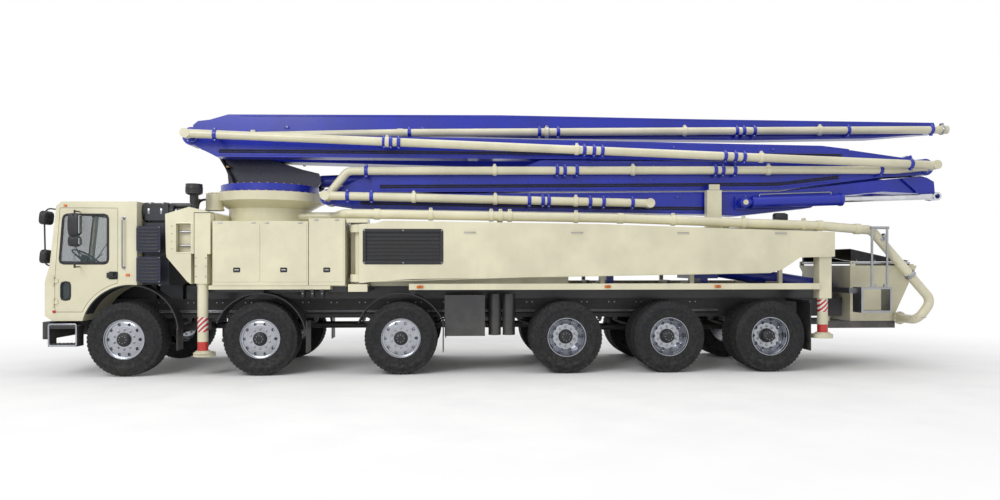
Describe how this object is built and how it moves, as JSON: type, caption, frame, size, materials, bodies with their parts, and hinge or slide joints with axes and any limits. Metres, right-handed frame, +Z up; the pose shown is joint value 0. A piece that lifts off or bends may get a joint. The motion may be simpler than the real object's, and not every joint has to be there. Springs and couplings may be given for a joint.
{
  "type": "truck-mounted concrete boom pump",
  "caption": "Boom pump truck: flat-front cab, axles with single and twin wheels, slewing folding boom with its delivery pipe, sliding and swinging outriggers, and a rear hopper.",
  "frame": {"origin": "on the ground under the vehicle, midway between the bumper's face and the end of the tip pipe, and midway across the vehicle's full width", "axes": "+X runs rearwards along the vehicle, +Y to its right side (the driver's left is -Y) and +Z up"},
  "size_m": [14.26, 2.72, 4.0878],
  "materials": {
    "body_cream": "gloss",
    "chassis_dark": "satin",
    "boom_blue": "gloss",
    "boom_dark": "gloss",
    "tyre_rubber": "matte",
    "steel": "satin",
    "chrome_rod": "polished",
    "glass": "gloss",
    "seat_cloth": "matte"
  },
  "bodies": {
    "chassis": {"chassis_frame": "chassis_dark", "front_axles": "chassis_dark", "rear_axles": "chassis_dark", "engine_block": "chassis_dark", "cab_shell": "body_cream", "cab_glass": "glass", "cab_interior": "seat_cloth", "bumper_and_steps": "chassis_dark", "mudguards": "chassis_dark", "cooling_tower": "chassis_dark", "pedestal": "body_cream", "side_cabinets": "body_cream", "toolbox_and_tanks": "chassis_dark", "deck_pipe": "body_cream", "pump_unit": "boom_blue", "hopper": "body_cream", "rear_platform": "steel"},
    "boom_arm_a": {"boom_arm_a": "boom_blue"},
    "boom_arm_b": {"boom_arm_b": "boom_blue"},
    "boom_arm_c": {"boom_arm_c": "boom_blue"},
    "boom_arm_d": {"boom_arm_d": "boom_blue"},
    "boom_arm_e": {"boom_arm_e": "boom_blue"},
    "cab_door_left": {"cab_door_left": "body_cream"},
    "cab_door_right": {"cab_door_right": "body_cream"},
    "cylinder_a_barrel": {"cylinder_a_barrel": "boom_blue"},
    "cylinder_a_rod": {"cylinder_a_rod": "chrome_rod"},
    "cylinder_b_barrel": {"cylinder_b_barrel": "boom_blue"},
    "cylinder_b_rod": {"cylinder_b_rod": "chrome_rod"},
    "cylinder_c_barrel": {"cylinder_c_barrel": "boom_blue"},
    "cylinder_c_rod": {"cylinder_c_rod": "chrome_rod"},
    "cylinder_d_barrel": {"cylinder_d_barrel": "boom_blue"},
    "cylinder_d_rod": {"cylinder_d_rod": "chrome_rod"},
    "cylinder_e_barrel": {"cylinder_e_barrel": "boom_blue"},
    "cylinder_e_rod": {"cylinder_e_rod": "chrome_rod"},
    "front_leg_left": {"front_leg_left": "steel"},
    "front_leg_right": {"front_leg_right": "steel"},
    "front_outrigger_left": {"front_outrigger_left": "body_cream"},
    "front_outrigger_right": {"front_outrigger_right": "body_cream"},
    "hopper_grate": {"hopper_grate": "steel"},
    "knuckle_1_left": {"knuckle_1_left": "chassis_dark"},
    "knuckle_1_right": {"knuckle_1_right": "chassis_dark"},
    "knuckle_2_left": {"knuckle_2_left": "chassis_dark"},
    "knuckle_2_right": {"knuckle_2_right": "chassis_dark"},
    "rear_leg_left": {"rear_leg_left": "steel"},
    "rear_leg_right": {"rear_leg_right": "steel"},
    "rear_outrigger_left": {"rear_outrigger_left": "body_cream"},
    "rear_outrigger_right": {"rear_outrigger_right": "body_cream"},
    "turret": {"turret": "boom_dark"},
    "wheel_1_left": {"wheel_1_left": "tyre_rubber"},
    "wheel_1_right": {"wheel_1_right": "tyre_rubber"},
    "wheel_2_left": {"wheel_2_left": "tyre_rubber"},
    "wheel_2_right": {"wheel_2_right": "tyre_rubber"},
    "wheel_3_left": {"wheel_3_left": "tyre_rubber"},
    "wheel_3_right": {"wheel_3_right": "tyre_rubber"},
    "wheel_4_left": {"wheel_4_left": "tyre_rubber"},
    "wheel_4_right": {"wheel_4_right": "tyre_rubber"},
    "wheel_5_left": {"wheel_5_left": "tyre_rubber"},
    "wheel_5_right": {"wheel_5_right": "tyre_rubber"},
    "wheel_6_left": {"wheel_6_left": "tyre_rubber"},
    "wheel_6_right": {"wheel_6_right": "tyre_rubber"}
  },
  "joints": [
    {"name": "slew", "type": "hinge", "parent": "chassis", "child": "turret", "pos_m": [-4.17, 0, 2.745], "axis": [0, 0, 1], "range_deg": [-1, 186]},
    {"name": "boom_a", "type": "hinge", "parent": "turret", "child": "boom_arm_a", "pos_m": [-4.9, 0.2, 3.45], "axis": [0, -1, 0], "range_deg": [0, 90]},
    {"name": "boom_b", "type": "hinge", "parent": "boom_arm_a", "child": "boom_arm_b", "pos_m": [6.32, 0, 2.91], "axis": [0, 1, 0], "range_deg": [0, 180]},
    {"name": "boom_c", "type": "hinge", "parent": "boom_arm_b", "child": "boom_arm_c", "pos_m": [-3.145, -0.45, 2.668], "axis": [0, -1, 0], "range_deg": [-1, 181]},
    {"name": "boom_d", "type": "hinge", "parent": "boom_arm_c", "child": "boom_arm_d", "pos_m": [6.4, -0.45, 3.2], "axis": [0, 1, 0], "range_deg": [0, 180]},
    {"name": "boom_e", "type": "hinge", "parent": "boom_arm_d", "child": "boom_arm_e", "pos_m": [-5.21, 0, 3.59], "axis": [0, -1, 0], "range_deg": [0, 180]},
    {"name": "cylinder_a_swing", "type": "hinge", "parent": "turret", "child": "cylinder_a_barrel", "pos_m": [-3.52, 0.2, 2.99], "axis": [0, -1, 0], "range_deg": [-1, 101.04]},
    {"name": "cylinder_a_stroke", "type": "slide", "parent": "cylinder_a_barrel", "child": "cylinder_a_rod", "axis": [0.9989, 0, 0.0459], "range_m": [-0.01, 1.9636]},
    {"name": "cylinder_b_swing", "type": "hinge", "parent": "boom_arm_b", "child": "cylinder_b_barrel", "pos_m": [3.35, -0.765, 2.6], "axis": [0, -1, 0], "range_deg": [-1, 9.11]},
    {"name": "cylinder_b_stroke", "type": "slide", "parent": "cylinder_b_barrel", "child": "cylinder_b_rod", "axis": [0.9994, 0, 0.036], "range_m": [-0.2468, 0.01]},
    {"name": "cylinder_c_swing", "type": "hinge", "parent": "boom_arm_b", "child": "cylinder_c_barrel", "pos_m": [0.25, -0.15, 2.64], "axis": [0, -1, 0], "range_deg": [-1, 6.87]},
    {"name": "cylinder_c_stroke", "type": "slide", "parent": "cylinder_c_barrel", "child": "cylinder_c_rod", "axis": [-0.9981, 0, 0.0609], "range_m": [-0.01, 0.2069]},
    {"name": "cylinder_d_swing", "type": "hinge", "parent": "boom_arm_c", "child": "cylinder_d_barrel", "pos_m": [3.75, -0.15, 3.08], "axis": [0, -1, 0], "range_deg": [-8.88, 1]},
    {"name": "cylinder_d_stroke", "type": "slide", "parent": "cylinder_d_barrel", "child": "cylinder_d_rod", "axis": [0.9934, 0, 0.1151], "range_m": [-0.01, 0.1133]},
    {"name": "cylinder_e_swing", "type": "hinge", "parent": "boom_arm_e", "child": "cylinder_e_barrel", "pos_m": [-2.35, 0.525, 3.86], "axis": [0, -1, 0], "range_deg": [-1, 9.39]},
    {"name": "cylinder_e_stroke", "type": "slide", "parent": "cylinder_e_barrel", "child": "cylinder_e_rod", "axis": [-0.9997, 0, -0.0235], "range_m": [-0.2108, 0.01]},
    {"name": "steer_1_left", "type": "hinge", "parent": "chassis", "child": "knuckle_1_left", "pos_m": [-5.95, -0.87, 0.54], "axis": [0, 0, 1], "range_deg": [-35, 35]},
    {"name": "wheel_1_left_spin", "type": "hinge", "parent": "knuckle_1_left", "child": "wheel_1_left", "pos_m": [-5.95, -1.0475, 0.54], "axis": [0, 1, 0], "continuous": true},
    {"name": "steer_1_right", "type": "hinge", "parent": "chassis", "child": "knuckle_1_right", "pos_m": [-5.95, 0.87, 0.54], "axis": [0, 0, 1], "range_deg": [-35, 35]},
    {"name": "wheel_1_right_spin", "type": "hinge", "parent": "knuckle_1_right", "child": "wheel_1_right", "pos_m": [-5.95, 1.0475, 0.54], "axis": [0, 1, 0], "continuous": true},
    {"name": "steer_2_left", "type": "hinge", "parent": "chassis", "child": "knuckle_2_left", "pos_m": [-4.02, -0.87, 0.54], "axis": [0, 0, 1], "range_deg": [-26.6, 26.6]},
    {"name": "wheel_2_left_spin", "type": "hinge", "parent": "knuckle_2_left", "child": "wheel_2_left", "pos_m": [-4.02, -1.0475, 0.54], "axis": [0, 1, 0], "continuous": true},
    {"name": "steer_2_right", "type": "hinge", "parent": "chassis", "child": "knuckle_2_right", "pos_m": [-4.02, 0.87, 0.54], "axis": [0, 0, 1], "range_deg": [-26.6, 26.6]},
    {"name": "wheel_2_right_spin", "type": "hinge", "parent": "knuckle_2_right", "child": "wheel_2_right", "pos_m": [-4.02, 1.0475, 0.54], "axis": [0, 1, 0], "continuous": true},
    {"name": "wheel_3_left_spin", "type": "hinge", "parent": "chassis", "child": "wheel_3_left", "pos_m": [-1.98, -1.0475, 0.54], "axis": [0, 1, 0], "continuous": true},
    {"name": "wheel_3_right_spin", "type": "hinge", "parent": "chassis", "child": "wheel_3_right", "pos_m": [-1.98, 1.0475, 0.54], "axis": [0, 1, 0], "continuous": true},
    {"name": "wheel_4_left_spin", "type": "hinge", "parent": "chassis", "child": "wheel_4_left", "pos_m": [0.48, -0.92, 0.54], "axis": [0, 1, 0], "continuous": true},
    {"name": "wheel_4_right_spin", "type": "hinge", "parent": "chassis", "child": "wheel_4_right", "pos_m": [0.48, 0.92, 0.54], "axis": [0, 1, 0], "continuous": true},
    {"name": "wheel_5_left_spin", "type": "hinge", "parent": "chassis", "child": "wheel_5_left", "pos_m": [2.03, -0.92, 0.54], "axis": [0, 1, 0], "continuous": true},
    {"name": "wheel_5_right_spin", "type": "hinge", "parent": "chassis", "child": "wheel_5_right", "pos_m": [2.03, 0.92, 0.54], "axis": [0, 1, 0], "continuous": true},
    {"name": "wheel_6_left_spin", "type": "hinge", "parent": "chassis", "child": "wheel_6_left", "pos_m": [3.58, -0.92, 0.54], "axis": [0, 1, 0], "continuous": true},
    {"name": "wheel_6_right_spin", "type": "hinge", "parent": "chassis", "child": "wheel_6_right", "pos_m": [3.58, 0.92, 0.54], "axis": [0, 1, 0], "continuous": true},
    {"name": "cab_door_left_hinge", "type": "hinge", "parent": "chassis", "child": "cab_door_left", "pos_m": [-6.964, -1.176, 1.23], "axis": [0, 0, -1], "range_deg": [0, 70]},
    {"name": "front_outrigger_left_slide", "type": "slide", "parent": "chassis", "child": "front_outrigger_left", "axis": [0, -1, 0], "range_m": [0, 1.6]},
    {"name": "front_leg_left_drop", "type": "slide", "parent": "front_outrigger_left", "child": "front_leg_left", "axis": [0, 0, -1], "range_m": [0, 0.45]},
    {"name": "rear_outrigger_left_swing", "type": "hinge", "parent": "chassis", "child": "rear_outrigger_left", "pos_m": [-2.615, -1.1, 1.8], "axis": [0, 0, -1], "range_deg": [0, 90]},
    {"name": "rear_leg_left_drop", "type": "slide", "parent": "rear_outrigger_left", "child": "rear_leg_left", "axis": [0, 0, -1], "range_m": [0, 0.65]},
    {"name": "cab_door_right_hinge", "type": "hinge", "parent": "chassis", "child": "cab_door_right", "pos_m": [-6.964, 1.176, 1.23], "axis": [0, 0, 1], "range_deg": [0, 70]},
    {"name": "front_outrigger_right_slide", "type": "slide", "parent": "chassis", "child": "front_outrigger_right", "axis": [0, 1, 0], "range_m": [0, 1.6]},
    {"name": "front_leg_right_drop", "type": "slide", "parent": "front_outrigger_right", "child": "front_leg_right", "axis": [0, 0, -1], "range_m": [0, 0.45]},
    {"name": "rear_outrigger_right_swing", "type": "hinge", "parent": "chassis", "child": "rear_outrigger_right", "pos_m": [-2.615, 1.1, 1.8], "axis": [0, 0, 1], "range_deg": [0, 90]},
    {"name": "rear_leg_right_drop", "type": "slide", "parent": "rear_outrigger_right", "child": "rear_leg_right", "axis": [0, 0, -1], "range_m": [0, 0.65]},
    {"name": "hopper_grate_hinge", "type": "hinge", "parent": "chassis", "child": "hopper_grate", "pos_m": [5.05, 0, 1.65], "axis": [0, -1, 0], "range_deg": [0, 75]}
  ],
  "couplings": [
    {"joint": "slew", "follows": "boom_a", "ratio": 2.0556},
    {"joint": "boom_c", "follows": "boom_b", "ratio": 1},
    {"joint": "cylinder_a_swing", "follows": "boom_a", "ratio": 1.1116},
    {"joint": "cylinder_a_stroke", "follows": "boom_a", "m_per_rad": 1.2437},
    {"joint": "cylinder_b_swing", "follows": "boom_b", "ratio": 0.045078},
    {"joint": "cylinder_b_stroke", "follows": "boom_b", "m_per_rad": -0.07537},
    {"joint": "cylinder_c_swing", "follows": "boom_b", "ratio": 0.032592},
    {"joint": "cylinder_c_stroke", "follows": "boom_b", "m_per_rad": 0.062669},
    {"joint": "cylinder_d_swing", "follows": "boom_d", "ratio": -0.043753},
    {"joint": "cylinder_d_stroke", "follows": "boom_d", "m_per_rad": 0.032897},
    {"joint": "cylinder_e_swing", "follows": "boom_e", "ratio": 0.046599},
    {"joint": "cylinder_e_stroke", "follows": "boom_e", "m_per_rad": -0.063918},
    {"joint": "steer_1_right", "follows": "steer_1_left", "ratio": 1},
    {"joint": "steer_2_left", "follows": "steer_1_left", "ratio": 0.76},
    {"joint": "steer_2_right", "follows": "steer_1_left", "ratio": 0.76}
  ]
}
